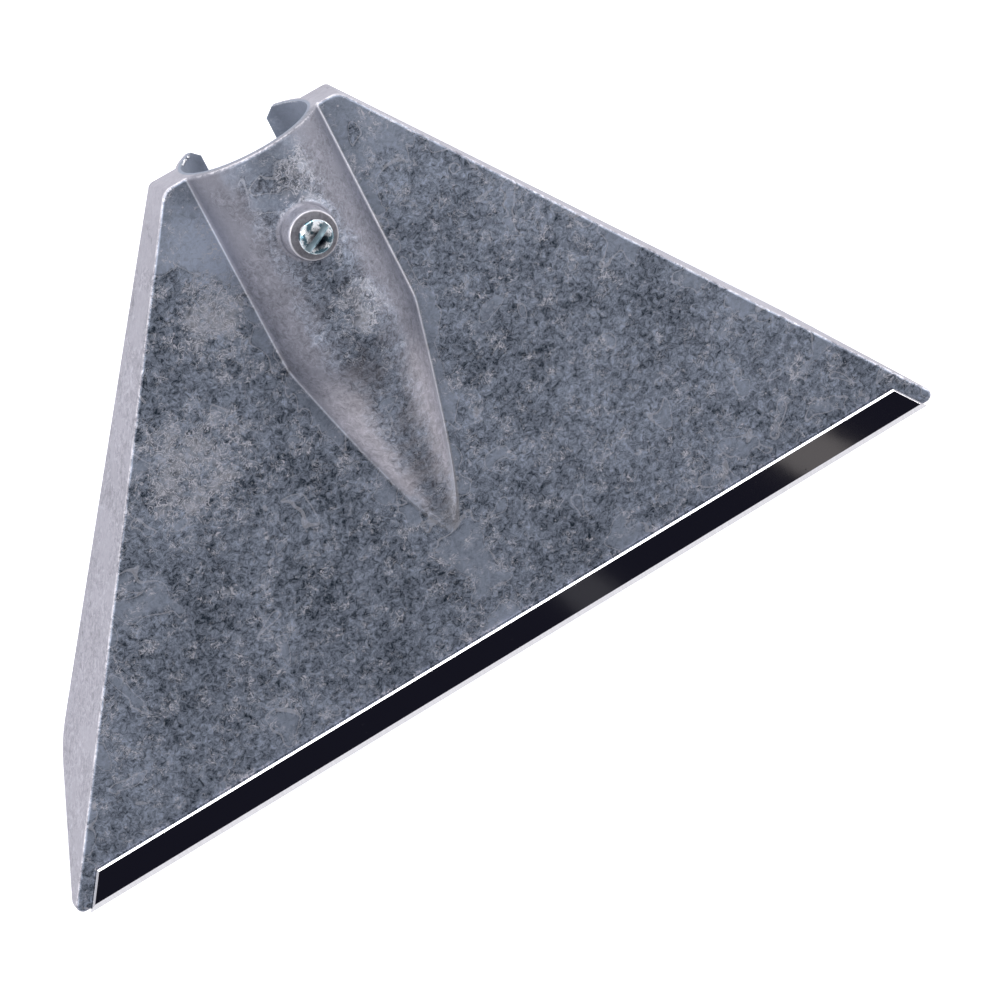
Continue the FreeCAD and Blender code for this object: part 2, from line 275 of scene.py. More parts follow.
# Two dim ceiling panels, seen only as soft grey patches in the blade
softbox("ceiling_panel_right", 31.9, 62.6, 1.3, 0.03, 0.10, 0.0017, "FFF8EE", Vector((75, -121, 7)) * MM)
softbox("ceiling_panel_middle", 22.7, 64.4, 1.3, 0.025, 0.10, 0.00045, "FFFFFF", Vector((19, -121, 7)) * MM)


# ---------------------------------------------------------------- materials

def die_cast_aluminium():
    """Die-cast aluminium, as cast.

    The skin that chilled flat on the die is slate blue-grey and mottled: dark flecks and light hairs
    from 0.2 mm up, gathered in clouds, whitish where it is rubbed. Drafted faces, which slid off the
    die, are smoother, lighter and lilac-grey. The bulge's flanks carry painted shade, and its nose and
    the boss carry painted light. Rims show bright wear with a painted highlight over it; the creases and
    the boss's rim carry painted highlight lines only.
    """
    material, tree, coords = new_material("die_cast_aluminium_as_cast")
    place = coords.outputs["Object"]
    point = add(tree, "SeparateXYZ", {0: place})
    facing = add(tree, "SeparateXYZ", {0: coords.outputs["Normal"]})

    # Clouds 35 mm wide, mottle from 9 mm down, and grain from 1.3 mm down
    clouds = add(tree, "TexNoise", {"Vector": place, "Scale": per_size(35), "Detail": 3.0, "Roughness": 0.6})
    mottle = add(tree, "TexNoise", {
        "Vector": place, "Scale": per_size(9), "Detail": 5.0, "Roughness": 0.74, "Distortion": 0.35,
    })
    grain = add(tree, "TexNoise", {
        "Vector": place, "Scale": per_size(1.3), "Detail": 4.0, "Roughness": 0.86, "Distortion": 0.7,
    })

    # Where the skin lay flat on the die: not the boss, and with a ragged edge round the bulge
    upright = add(tree, "Math", {0: facing.outputs["Z"]}, operation="ABSOLUTE")
    ragged = add(tree, "Math", {0: mottle, 1: 0.5, 2: upright}, operation="MULTIPLY_ADD")
    on_bulge = add(tree, "MapRange", {
        "Value": point.outputs["Z"], "From Min": 6.0 * MM, "From Max": 7.0 * MM,
    })
    ragged = add(tree, "Math", {0: on_bulge, 1: -0.10, 2: ragged}, operation="MULTIPLY_ADD")
    lying = add(tree, "MapRange", {"Value": ragged, "From Min": 0.93, "From Max": 1.2},
                interpolation_type="SMOOTHSTEP")
    below_boss = add(tree, "MapRange", {
        "Value": point.outputs["Z"], "From Min": 16.9 * MM, "From Max": 16.3 * MM,
    })
    flat = add(tree, "Math", {0: lying, 1: below_boss}, operation="MULTIPLY")
    raised = add(tree, "Math", {0: 1.0, 1: below_boss}, operation="SUBTRACT")

    # Distance from the bulge's surface: that from the socket's axis, less the bulge's radius there
    across = add(tree, "CombineXYZ", {"X": point.outputs["X"], "Z": point.outputs["Z"]})
    axis_distance = add(tree, "VectorMath", {0: across}, operation="LENGTH")
    nose_end = SOCKET_RADIUS - NOSE_RUN * math.tan(math.radians(NOSE_ANGLE))
    narrowed = add(tree, "MapRange", {
        "Value": point.outputs["Y"],
        "From Min": -SOCKET_DEPTH * MM, "From Max": -(SOCKET_DEPTH + NOSE_RUN) * MM,
        "To Min": SOCKET_RADIUS * MM, "To Max": nose_end * MM,
    })
    from_bulge = add(tree, "Math", {0: axis_distance.outputs["Value"], 1: narrowed}, operation="SUBTRACT")
    beside_bulge = add(tree, "MapRange", {
        "Value": from_bulge, "From Min": 4.5 * MM, "From Max": 0.8 * MM,
    }, interpolation_type="SMOOTHSTEP")
    off_bulge = add(tree, "Math", {0: 1.0, 1: on_bulge}, operation="SUBTRACT")
    beside_bulge = add(tree, "Math", {0: beside_bulge, 1: off_bulge}, operation="MULTIPLY")
    in_bore = add(tree, "MapRange", {"Value": from_bulge, "From Min": -1.2 * MM, "From Max": -1.5 * MM})

    # Distance inside the front face's outline, taken from its two side edges and its end
    side = add(tree, "Math", {0: point.outputs["X"]}, operation="ABSOLUTE")
    slant = math.radians(SIDE_ANGLE)
    sloped = add(tree, "Math", {0: point.outputs["Y"], 1: math.sin(slant),
                                2: -END_WIDTH / 2 * math.cos(slant) * MM}, operation="MULTIPLY_ADD")
    from_side = add(tree, "Math", {0: side, 1: math.cos(slant), 2: sloped}, operation="MULTIPLY_ADD")
    outline = add(tree, "Math", {0: from_side, 1: point.outputs["Y"], 2: 2.5 * MM}, operation="SMOOTH_MAX")
    nicks = add(tree, "Math", {0: mottle, 1: grain}, operation="ADD")
    nicked = add(tree, "Math", {0: nicks, 1: 1.1 * MM, 2: outline}, operation="MULTIPLY_ADD")

    # Smooth tongues where the metal ran cold: beside the bulge, near the mouth and along the sides
    near_mouth = add(tree, "MapRange", {
        "Value": point.outputs["Y"], "From Min": -30 * MM, "From Max": -4 * MM, "To Max": 0.12,
    }, interpolation_type="SMOOTHSTEP")
    left_shoulder = add(tree, "VectorMath", {0: place, 1: Vector((-19.5, -14, 6)) * MM}, operation="DISTANCE")
    shoulder = add(tree, "MapRange", {
        "Value": left_shoulder.outputs["Value"], "From Min": 13 * MM, "From Max": 3 * MM, "To Max": 0.26,
    }, interpolation_type="SMOOTHSTEP")
    along_side = add(tree, "MapRange", {
        "Value": outline, "From Min": -6 * MM, "From Max": -1 * MM, "To Max": 0.10,
    }, interpolation_type="SMOOTHSTEP")
    tongues = add(tree, "TexNoise", {"Vector": place, "Scale": per_size(9), "Detail": 1.5, "Distortion": 0.6})
    reach = add(tree, "Math", {0: beside_bulge, 1: 0.20, 2: near_mouth}, operation="MULTIPLY_ADD")
    reach = add(tree, "Math", {0: reach, 1: shoulder}, operation="ADD")
    reach = add(tree, "Math", {0: reach, 1: along_side}, operation="ADD")
    flow = add(tree, "Math", {0: tongues, 1: reach}, operation="ADD")
    smooth = add(tree, "MapRange", {"Value": flow, "From Min": 0.64, "From Max": 0.69},
                 interpolation_type="SMOOTHSTEP")
    lip = add(tree, "Math", {0: flow, 1: 0.64, 2: 0.007}, operation="COMPARE")
    texture = add(tree, "MapRange", {"Value": smooth, "To Min": 1.0, "To Max": 0.35})

    # Tone: each pattern adds or takes light about the middle
    tone = add(tree, "Math", {0: clouds, 1: 0.55, 2: -0.275}, operation="MULTIPLY_ADD")
    fine = add(tree, "Math", {0: grain, 1: 2.8, 2: -1.4}, operation="MULTIPLY_ADD")
    coarse = add(tree, "Math", {0: mottle, 1: 0.9, 2: -0.45}, operation="MULTIPLY_ADD")
    speckle = add(tree, "Math", {0: fine, 1: coarse}, operation="ADD")
    speckle = add(tree, "Math", {0: speckle, 1: texture, 2: tone}, operation="MULTIPLY_ADD")
    lit = add(tree, "MapRange", {"Value": smooth, "To Min": 0.47, "To Max": 0.61})
    lit = add(tree, "Math", {0: shoulder, 1: 1.5, 2: lit}, operation="MULTIPLY_ADD")
    lit = add(tree, "Math", {0: on_bulge, 1: -0.09, 2: lit}, operation="MULTIPLY_ADD")
    skin_tone = add(tree, "Math", {0: speckle, 1: lit}, operation="ADD", use_clamp=True)
    drafted_tone = add(tree, "Math", {0: speckle, 1: 0.5, 2: 0.55}, operation="MULTIPLY_ADD", use_clamp=True)
    skin = add(tree, "Mix", {
        0: skin_tone, 6: hex_colour("343E4A"), 7: hex_colour("CBD5E8"),
    }, data_type="RGBA")
    drafted = add(tree, "Mix", {
        0: drafted_tone, 6: hex_colour("4E4E56"), 7: hex_colour("C4C2CC"),
    }, data_type="RGBA")
    # Painted shade: the bulge's flanks take a darker copy of the drafted faces' colour
    flank = add(tree, "Mix", {
        0: drafted_tone, 6: hex_colour("45474E"), 7: hex_colour("AEAEB9"),
    }, data_type="RGBA")
    bore = add(tree, "Mix", {
        0: drafted_tone, 6: hex_colour("565C67"), 7: hex_colour("A0A8B8"),
    }, data_type="RGBA")
    # Mask of the bulge below the boss, where the painted shade of the flanks and the nose's painted light go
    bulge_painted_shade_and_light = add(tree, "Math", {0: on_bulge, 1: below_boss}, operation="MULTIPLY")
    # Painted light: the nose, where the bulge narrows, takes a lighter copy of the flank's colour
    nose = add(tree, "MapRange", {
        "Value": point.outputs["Y"], "From Min": -46 * MM, "From Max": -60 * MM,
    }, interpolation_type="SMOOTHSTEP")
    nose_painted_light_tone = add(tree, "Mix", {
        0: drafted_tone, 6: hex_colour("6C6A70"), 7: hex_colour("ECE8F0"),
    }, data_type="RGBA")
    flank = add(tree, "Mix", {0: nose, 6: flank.outputs[2], 7: nose_painted_light_tone.outputs[2]}, data_type="RGBA")
    drafted = add(tree, "Mix", {0: bulge_painted_shade_and_light, 6: drafted.outputs[2], 7: flank.outputs[2]}, data_type="RGBA")
    # Painted light: the boss takes a lighter copy of the drafted colour
    boss = add(tree, "Mix", {
        0: drafted_tone, 6: hex_colour("69686F"), 7: hex_colour("D6D4DC"),
    }, data_type="RGBA")
    drafted = add(tree, "Mix", {0: raised, 6: drafted.outputs[2], 7: boss.outputs[2]}, data_type="RGBA")
    drafted = add(tree, "Mix", {0: in_bore, 6: drafted.outputs[2], 7: bore.outputs[2]}, data_type="RGBA")
    base = add(tree, "Mix", {0: flat, 6: drafted.outputs[2], 7: skin.outputs[2]}, data_type="RGBA")

    # Dark flecks 0.3 to 1 mm, thickest in the dark clouds
    fleck_noise = add(tree, "TexNoise", {
        "Vector": place, "Scale": per_size(1.5), "Detail": 2.0, "Roughness": 0.6, "Distortion": 1.0,
    })
    crowd = add(tree, "Math", {0: mottle, 1: 0.25, 2: fleck_noise}, operation="MULTIPLY_ADD")
    flecks = add(tree, "MapRange", {"Value": crowd, "From Min": 0.74, "From Max": 0.80, "To Max": 0.5})
    flecks = add(tree, "Math", {0: flecks, 1: flat}, operation="MULTIPLY")
    flecks = add(tree, "Math", {0: flecks, 1: texture}, operation="MULTIPLY")
    flecked = add(tree, "Mix", {
        0: flecks, 6: base.outputs[2], 7: hex_colour("2A323C"),
    }, data_type="RGBA")

    # Light hairs 0.2 mm wide: broken contour lines, crowded into rubbed patches, two left of the bulge
    # and two on it
    hair_noise = add(tree, "TexNoise", {
        "Vector": place, "Scale": per_size(2.2), "Detail": 2.0, "Roughness": 0.55, "Distortion": 2.2,
    })
    lines = add(tree, "Math", {0: hair_noise, 1: 0.5, 2: 0.028}, operation="COMPARE")
    rubbed = 0
    for spot, size in RUBBED_PATCHES:
        away = add(tree, "VectorMath", {0: place, 1: Vector(spot) * MM}, operation="DISTANCE")
        patch = add(tree, "MapRange", {
            "Value": away.outputs["Value"], "From Min": size * MM, "From Max": 0.2 * size * MM,
            "To Max": 0.28,
        }, interpolation_type="SMOOTHSTEP")
        rubbed = add(tree, "Math", {0: rubbed, 1: patch}, operation="MAXIMUM")
    broken = add(tree, "TexNoise", {"Vector": place, "Scale": per_size(3.5), "Detail": 2.0, "Roughness": 0.7})
    broken = add(tree, "Math", {0: broken, 1: rubbed}, operation="ADD")
    kept = add(tree, "MapRange", {"Value": broken, "From Min": 0.50, "From Max": 0.66, "To Max": 1.0})
    hairs = add(tree, "Math", {0: lines, 1: kept}, operation="MULTIPLY")
    haze = add(tree, "MapRange", {"Value": broken, "From Min": 0.62, "From Max": 0.88, "To Max": 0.5})
    hairs = add(tree, "Math", {0: hairs, 1: haze}, operation="MAXIMUM")
    speck_cells = add(tree, "TexVoronoi", {"Vector": place, "Scale": per_size(2.4)})
    speck_size = add(tree, "Math", {0: speck_cells.outputs["Color"], 1: 0.22, 2: -0.09},
                     operation="MULTIPLY_ADD")
    specks = add(tree, "Math", {0: speck_size, 1: speck_cells.outputs["Distance"]}, operation="SUBTRACT")
    specks = add(tree, "MapRange", {"Value": specks, "From Min": -0.02, "From Max": 0.03, "To Max": 0.8})
    hairs = add(tree, "Math", {0: hairs, 1: specks}, operation="MAXIMUM")
    lips = add(tree, "Math", {0: lip, 1: 0.45}, operation="MULTIPLY")
    hairs = add(tree, "Math", {0: hairs, 1: lips}, operation="MAXIMUM")
    hairs = add(tree, "Math", {0: hairs, 1: flat}, operation="MULTIPLY")
    haired = add(tree, "Mix", {
        0: hairs, 6: flecked.outputs[2], 7: hex_colour("E2E2EA"),
    }, data_type="RGBA")

    # Bright lines: wear with a painted highlight on the face's rim and the mouth's edge, and painted
    # highlight alone on the bulge's creases and the boss's rim
    outward = add(tree, "MapRange", {"Value": facing.outputs["Z"], "From Min": 0.2, "From Max": 0.5})
    rim = add(tree, "MapRange", {
        "Value": nicked, "From Min": 0.84 * MM, "From Max": 1.2 * MM, "To Max": 0.75,
    })
    rim = add(tree, "Math", {0: rim, 1: outward}, operation="MULTIPLY")
    # Painted highlight: a thin bright line along each crease at the bulge's foot, stronger towards the right
    crease_away = add(tree, "Math", {0: from_bulge, 1: 0.15 * MM}, operation="SUBTRACT")
    crease_away = add(tree, "Math", {0: crease_away}, operation="ABSOLUTE")
    crease = add(tree, "MapRange", {"Value": crease_away, "From Min": 0.30 * MM, "From Max": 0.08 * MM})
    at_foot = add(tree, "MapRange", {
        "Value": point.outputs["Z"], "From Min": 7.0 * MM, "From Max": 6.3 * MM, "To Max": 0.55,
    })
    in_front = add(tree, "Math", {0: point.outputs["Z"], 1: 5.0 * MM}, operation="GREATER_THAN")
    crease = add(tree, "Math", {0: crease, 1: at_foot}, operation="MULTIPLY")
    crease = add(tree, "Math", {0: crease, 1: in_front}, operation="MULTIPLY")
    highlight_stronger_right = add(tree, "MapRange", {
        "Value": point.outputs["X"], "From Min": -1.5 * MM, "From Max": 1.5 * MM, "To Min": 0.35,
    })
    crease = add(tree, "Math", {0: crease, 1: highlight_stronger_right}, operation="MULTIPLY")
    # Painted highlight: a bright ring round the boss's top edge
    in_plan = add(tree, "CombineXYZ", {"X": point.outputs["X"], "Y": point.outputs["Y"]})
    from_screw = add(tree, "VectorMath", {0: in_plan, 1: (0, SCREW_Y * MM, 0)}, operation="DISTANCE")
    boss_rim_painted_highlight = add(tree, "Math", {
        0: from_screw.outputs["Value"], 1: (BOSS_TOP_RADIUS - 0.15) * MM, 2: 0.2 * MM,
    }, operation="COMPARE")
    boss_rim_painted_highlight = add(tree, "Math", {0: boss_rim_painted_highlight, 1: raised}, operation="MULTIPLY")
    boss_rim_painted_highlight = add(tree, "Math", {0: boss_rim_painted_highlight, 1: 0.5}, operation="MULTIPLY")
    wear_and_painted_highlight = add(tree, "Math", {0: rim, 1: crease}, operation="MAXIMUM")
    wear_and_painted_highlight = add(tree, "Math", {0: wear_and_painted_highlight, 1: boss_rim_painted_highlight}, operation="MAXIMUM")
    # Near-white colour where wear and painted highlights fall
    colour = add(tree, "Mix", {
        0: wear_and_painted_highlight, 6: haired.outputs[2], 7: hex_colour("F2F0F4"),
    }, data_type="RGBA")
    roughness = add(tree, "MapRange", {"Value": wear_and_painted_highlight, "To Min": 0.56, "To Max": 0.36})

    height = add(tree, "Math", {0: speckle, 1: flat}, operation="MULTIPLY")
    height = add(tree, "Math", {0: hairs, 1: 0.5, 2: height}, operation="MULTIPLY_ADD")
    rounded = add(tree, "Bevel", {"Radius": 0.25 * MM}, samples=4)
    bump = add(tree, "Bump", {
        "Height": height, "Strength": 0.35, "Distance": 0.03 * MM, "Normal": rounded,
    })
    metal = add(tree, "BsdfPrincipled", {
        "Base Color": colour.outputs[2], "Metallic": 1.0, "Roughness": roughness, "Normal": bump,
    })
    add(tree, "OutputMaterial", {"Surface": metal})
    return material


def polished_steel():
    """Stainless steel strip, mirror polished on top and ground on the bevel.

    The polish reads dark where the room is dark, with slight waves, fine wiping hairs and dust. The
    ground bevel is pale and satin, with grinding lines across it.
    """
    material, tree, coords = new_material("mirror_polished_stainless_steel")
    place = coords.outputs["Object"]
    facing = add(tree, "SeparateXYZ", {0: coords.outputs["Normal"]})
    ground = add(tree, "MapRange", {"Value": facing.outputs["Y"], "From Min": -0.2, "From Max": -0.5})
    waves = add(tree, "TexNoise", {"Vector": place, "Scale": per_size(9), "Detail": 2.0})
    across = add(tree, "Mapping", {"Vector": place, "Scale": (per_size(0.22), per_size(8), per_size(8))})
    lines = add(tree, "TexNoise", {"Vector": across, "Scale": 1.0, "Detail": 2.0, "Roughness": 0.7})
    dust_noise = add(tree, "TexNoise", {"Vector": place, "Scale": per_size(0.9), "Detail": 1.0})
    dust = add(tree, "MapRange", {"Value": dust_noise, "From Min": 0.76, "From Max": 0.80, "To Max": 0.5})
    shine = add(tree, "Mix", {0: dust, 6: hex_colour("C4C3C8"), 7: hex_colour("E8E6E4")}, data_type="RGBA")
    satin = add(tree, "Mix", {0: lines, 6: hex_colour("C4C2C6"), 7: hex_colour("E6E5E8")}, data_type="RGBA")
    colour = add(tree, "Mix", {0: ground, 6: shine.outputs[2], 7: satin.outputs[2]}, data_type="RGBA")
    smeared = add(tree, "MapRange", {"Value": dust, "To Min": 0.045, "To Max": 0.35})
    roughness = add(tree, "Mix", {0: ground, 2: smeared, 3: 0.30}, data_type="FLOAT")
    height = add(tree, "Mix", {0: ground, 2: waves, 3: lines}, data_type="FLOAT")
    bump = add(tree, "Bump", {"Height": height, "Strength": 0.08, "Distance": 0.05 * MM})
    metal = add(tree, "BsdfPrincipled", {
        "Base Color": colour.outputs[2], "Metallic": 1.0, "Roughness": roughness, "Normal": bump,
    })
    add(tree, "OutputMaterial", {"Surface": metal})
    return material


def plain_steel():
    """Mild steel wire, cold peened: satin grey with fine hammer scale."""
    material, tree, coords = new_material("peened_mild_steel")
    place = coords.outputs["Object"]
    scale = add(tree, "TexNoise", {"Vector": place, "Scale": per_size(0.5), "Detail": 4.0, "Roughness": 0.7})
    colour = add(tree, "Mix", {0: scale, 6: hex_colour("6E6A66"), 7: hex_colour("B4B1AC")}, data_type="RGBA")
    roughness = add(tree, "MapRange", {"Value": scale, "To Min": 0.28, "To Max": 0.5})
    bump = add(tree, "Bump", {"Height": scale, "Strength": 0.4, "Distance": 0.03 * MM})
    metal = add(tree, "BsdfPrincipled", {
        "Base Color": colour, "Metallic": 1.0, "Roughness": roughness, "Normal": bump,
    })
    add(tree, "OutputMaterial", {"Surface": metal})
    return material


def zinc_plate():
    """Bright zinc plate with a clear blue passivate.

    Mirror-like but wavy. Its colour runs in wavy patches from dark blue-green to near white: painted
    reflection of the dark room and painted highlight blobs, over the passivate's own blue. The slot's floor
    is matt, with painted light making it pale.
    """
    material, tree, coords = new_material("bright_zinc_plated_steel")
    place = coords.outputs["Object"]
    height = add(tree, "SeparateXYZ", {0: place})
    slot = add(tree, "Math", {
        0: height.outputs["Z"], 1: (HEAD_CROWN - SLOT_DEPTH) * MM, 2: 0.04 * MM,
    }, operation="COMPARE")
    waves = add(tree, "TexNoise", {"Vector": place, "Scale": per_size(1.6), "Detail": 3.0, "Roughness": 0.6})
    # Painted reflection and painted highlight: wavy patches from dark blue-green to near white
    reflection_patches = add(tree, "MapRange", {"Value": waves, "From Min": 0.43, "From Max": 0.56})
    bright = add(tree, "Mix", {0: reflection_patches, 6: hex_colour("4A636E"), 7: hex_colour("F2F4F6")}, data_type="RGBA")
    # Painted light: the slot's floor is coloured pale blue
    colour = add(tree, "Mix", {0: slot, 6: bright.outputs[2], 7: hex_colour("B4CAD3")}, data_type="RGBA")
    roughness = add(tree, "MapRange", {"Value": slot, "To Min": 0.14, "To Max": 0.5})
    bump = add(tree, "Bump", {"Height": waves, "Strength": 0.8, "Distance": 0.12 * MM})
    metal = add(tree, "BsdfPrincipled", {
        "Base Color": colour.outputs[2], "Metallic": 1.0, "Roughness": roughness, "Normal": bump,
    })
    add(tree, "OutputMaterial", {"Surface": metal})
    return material


def broken_aluminium():
    """Aluminium, freshly broken: bright, clean and slightly rough."""
    material, tree, coords = new_material("broken_bright_aluminium")
    grain = add(tree, "TexNoise", {"Vector": coords.outputs["Object"], "Scale": per_size(0.3), "Detail": 3.0})
    colour = add(tree, "Mix", {0: grain, 6: hex_colour("B9BAC0"), 7: hex_colour("F0F0F2")}, data_type="RGBA")
    bump = add(tree, "Bump", {"Height": grain, "Strength": 0.4, "Distance": 0.04 * MM})
    metal = add(tree, "BsdfPrincipled", {
        "Base Color": colour, "Metallic": 1.0, "Roughness": 0.3, "Normal": bump,
    })
    add(tree, "OutputMaterial", {"Surface": metal})
    return material


def pin_pressed_aluminium():
    """Aluminium pressed by an ejector pin's ground end: smoother and paler than the cast skin round it."""
    material, tree, coords = new_material("ejector_pressed_aluminium")
    place = coords.outputs["Object"]
    scuffs = add(tree, "TexNoise", {"Vector": place, "Scale": per_size(1.2), "Detail": 4.0, "Roughness": 0.7})
    colour = add(tree, "Mix", {0: scuffs, 6: hex_colour("8E8F96"), 7: hex_colour("DCDBE0")}, data_type="RGBA")
    roughness = add(tree, "MapRange", {"Value": scuffs, "To Min": 0.32, "To Max": 0.48})
    bump = add(tree, "Bump", {"Height": scuffs, "Strength": 0.25, "Distance": 0.02 * MM})
    metal = add(tree, "BsdfPrincipled", {
        "Base Color": colour, "Metallic": 1.0, "Roughness": roughness, "Normal": bump,
    })
    add(tree, "OutputMaterial", {"Surface": metal})
    return material


# ---------------------------------------------------------------- modelling tools

def begin(name):
    """Takes the primitive just added as a new piece, its place put into its mesh, in edit mode."""
    piece = bpy.context.object
    piece.name = name
    bpy.ops.object.transform_apply(location=True, rotation=True, scale=True)
    bpy.ops.object.mode_set(mode="EDIT")
    return piece


def clear_selection():
    """Deselects every object, among them the frame's nodes, which load selected."""
    bpy.ops.object.select_all(action="DESELECT")


def pick(piece, kind, test):
    """Selects, in edit mode, the faces, edges or verts that pass the test."""
    bpy.ops.mesh.select_mode(type={"faces": "FACE", "edges": "EDGE", "verts": "VERT"}[kind])
    bpy.ops.mesh.select_all(action="DESELECT")
    mesh = bmesh.from_edit_mesh(piece.data)
    mesh.normal_update()
    for element in getattr(mesh, kind):
        if test(element):
            element.select_set(True)
    mesh.select_flush_mode()
    bmesh.update_edit_mesh(piece.data)


def middle(edge):
    """The edge's midpoint."""
    return (edge.verts[0].co + edge.verts[1].co) / 2


def modifier(piece, kind, **settings):
    """Adds a modifier with its settings and applies it."""
    bpy.context.view_layer.objects.active = piece
    made = piece.modifiers.new(kind.lower(), kind)
    for name, value in settings.items():
        setattr(made, name, value)
    bpy.ops.object.modifier_apply(modifier=made.name)


def join(pieces, name):
    """Joins pieces into the first, which takes the name."""
    clear_selection()
    for piece in pieces:
        piece.select_set(True)
    bpy.context.view_layer.objects.active = pieces[0]
    bpy.ops.object.join()
    pieces[0].name = name
    return pieces[0]


def finish_piece(piece, material, body, smooth=35):
    """Smooths the piece's shading below an angle, and gives it its material, body and slot."""
    clear_selection()
    piece.select_set(True)
    bpy.context.view_layer.objects.active = piece
    if bpy.context.object.mode != "OBJECT":
        bpy.ops.object.mode_set(mode="OBJECT")
    bpy.ops.object.shade_smooth_by_angle(angle=math.radians(smooth))
    piece.data.materials.clear()
    piece.data.materials.append(material)
    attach(piece, body)


def copy_piece(piece, name):
    """A copy of the piece with a mesh of its own."""
    copy = piece.copy()
    copy.data = piece.data.copy()
    copy.name = name
    bpy.context.scene.collection.objects.link(copy)
    return copy


# ---------------------------------------------------------------- blade

def side_normal(side):
    """Unit normal, in plan, of the casting's side edge on the left (-1) or right (1)."""
    a = math.radians(SIDE_ANGLE)
    return Vector((side * math.cos(a), math.sin(a), 0))


def make_blade():
    """Ground and polished strip: slanted ends, a bevel down to a land, and chamfers on its top's back
    and ends."""
    size = blade_high - blade_low
    clear_selection()
    bpy.ops.mesh.primitive_cube_add(size=1, location=(blade_low + blade_high) / 2, scale=size)
    blade = begin("blade_strip")
    for side in (-1, 1):
        bpy.ops.mesh.select_all(action="SELECT")
        corner = Vector((side * blade_high.x, blade_low.y, blade_low.z))
        bpy.ops.mesh.bisect(plane_co=corner, plane_no=side_normal(side), clear_outer=True, use_fill=True)
    bpy.ops.mesh.select_all(action="SELECT")
    land_top = blade_low + Vector((0, 0, BLADE_CUTTING_LAND * MM))
    drop = blade_high.z - land_top.z
    slope = Vector((0, -drop, BLADE_BEVEL * MM)).normalized()
    bpy.ops.mesh.bisect(plane_co=land_top, plane_no=slope, clear_outer=True, use_fill=True)
    bpy.ops.mesh.select_all(action="SELECT")
    bpy.ops.mesh.normals_make_consistent(inside=False)

    def back_or_end_top(edge):
        at_top = all(v.co.z > blade_high.z - CLOSE for v in edge.verts)
        return at_top and middle(edge).y > blade_low.y + (BLADE_BEVEL + 0.1) * MM

    pick(blade, "edges", back_or_end_top)
    bpy.ops.mesh.bevel(offset=BLADE_CHAMFER * MM, offset_type="OFFSET", segments=1, affect="EDGES")
    bpy.ops.object.mode_set(mode="OBJECT")
    modifier(blade, "BEVEL", width=BLADE_EDGE_BREAK * MM, segments=2, limit_method="ANGLE",
             angle_limit=math.radians(20))
    finish_piece(blade, materials["polished_steel"], "head", smooth=5)
    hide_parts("blade")


# ---------------------------------------------------------------- studs behind the blade

def make_studs():
    """Steel studs, each head hammered over behind the casting with a few uneven blows."""
    centre = Vector((studs_low.x / MM + STUD_HEAD_RADIUS, (studs_low.y + studs_high.y) / 2 / MM, 0))
    step = -2 * centre.x / (STUD_COUNT - 1)
    head_low = studs_low.z / MM
    shank_top = studs_high.z / MM
    clear_selection()
    bpy.ops.mesh.primitive_cylinder_add(
        vertices=40, radius=STUD_HEAD_RADIUS * MM, depth=STUD_HEAD_HEIGHT * MM,
        location=(0, 0, (head_low + STUD_HEAD_HEIGHT / 2) * MM),
    )
    stud = begin("blade_stud_1")
    pick(stud, "faces", lambda f: f.normal.z > 0.9)
    bpy.ops.mesh.inset(thickness=(STUD_HEAD_RADIUS - STUD_RADIUS) * MM)
    bpy.ops.mesh.extrude_region_move(
        TRANSFORM_OT_translate={"value": (0, 0, (shank_top - head_low - STUD_HEAD_HEIGHT) * MM)})
    pick(stud, "edges", lambda e: all(abs(v.co.z - head_low * MM) < CLOSE for v in e.verts))
    bpy.ops.mesh.bevel(offset=STUD_ROUNDING * MM, segments=5, affect="EDGES")
    for turn, tilt, sink in STUD_BLOWS:
        a = math.radians(turn)
        t = math.radians(tilt)
        blow = Vector((math.sin(t) * math.cos(a), math.sin(t) * math.sin(a), -math.cos(t)))
        low_point = Vector((0, 0, head_low * MM)) + blow * (STUD_BLOW_HEIGHT - sink) * MM
        reach = Vector((math.cos(a), math.sin(a), 0)) * STUD_HEAD_RADIUS * STUD_BLOW_REACH * MM
        bpy.ops.mesh.select_all(action="SELECT")
        bpy.ops.mesh.bisect(plane_co=low_point + reach, plane_no=blow, clear_outer=True,
                            use_fill=True, threshold=BISECT_SNAP * MM)
    bpy.ops.mesh.select_all(action="SELECT")
    bpy.ops.mesh.remove_doubles(threshold=0.004 * MM)
    bpy.ops.mesh.normals_make_consistent(inside=False)
    bpy.ops.object.mode_set(mode="OBJECT")
    studs = [stud] + [copy_piece(stud, "blade_stud_" + str(i + 1)) for i in range(1, STUD_COUNT)]
    for i, each in enumerate(studs):
        turn = Matrix.Rotation(math.radians(STUD_TURN * i), 4, "Z")
        place = Matrix.Translation(Vector((centre.x + i * step, centre.y, 0)) * MM)
        each.data.transform(place @ turn)
        finish_piece(each, materials["plain_steel"], "head", smooth=19)
    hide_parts("blade_studs")


# ---------------------------------------------------------------- clamp screw

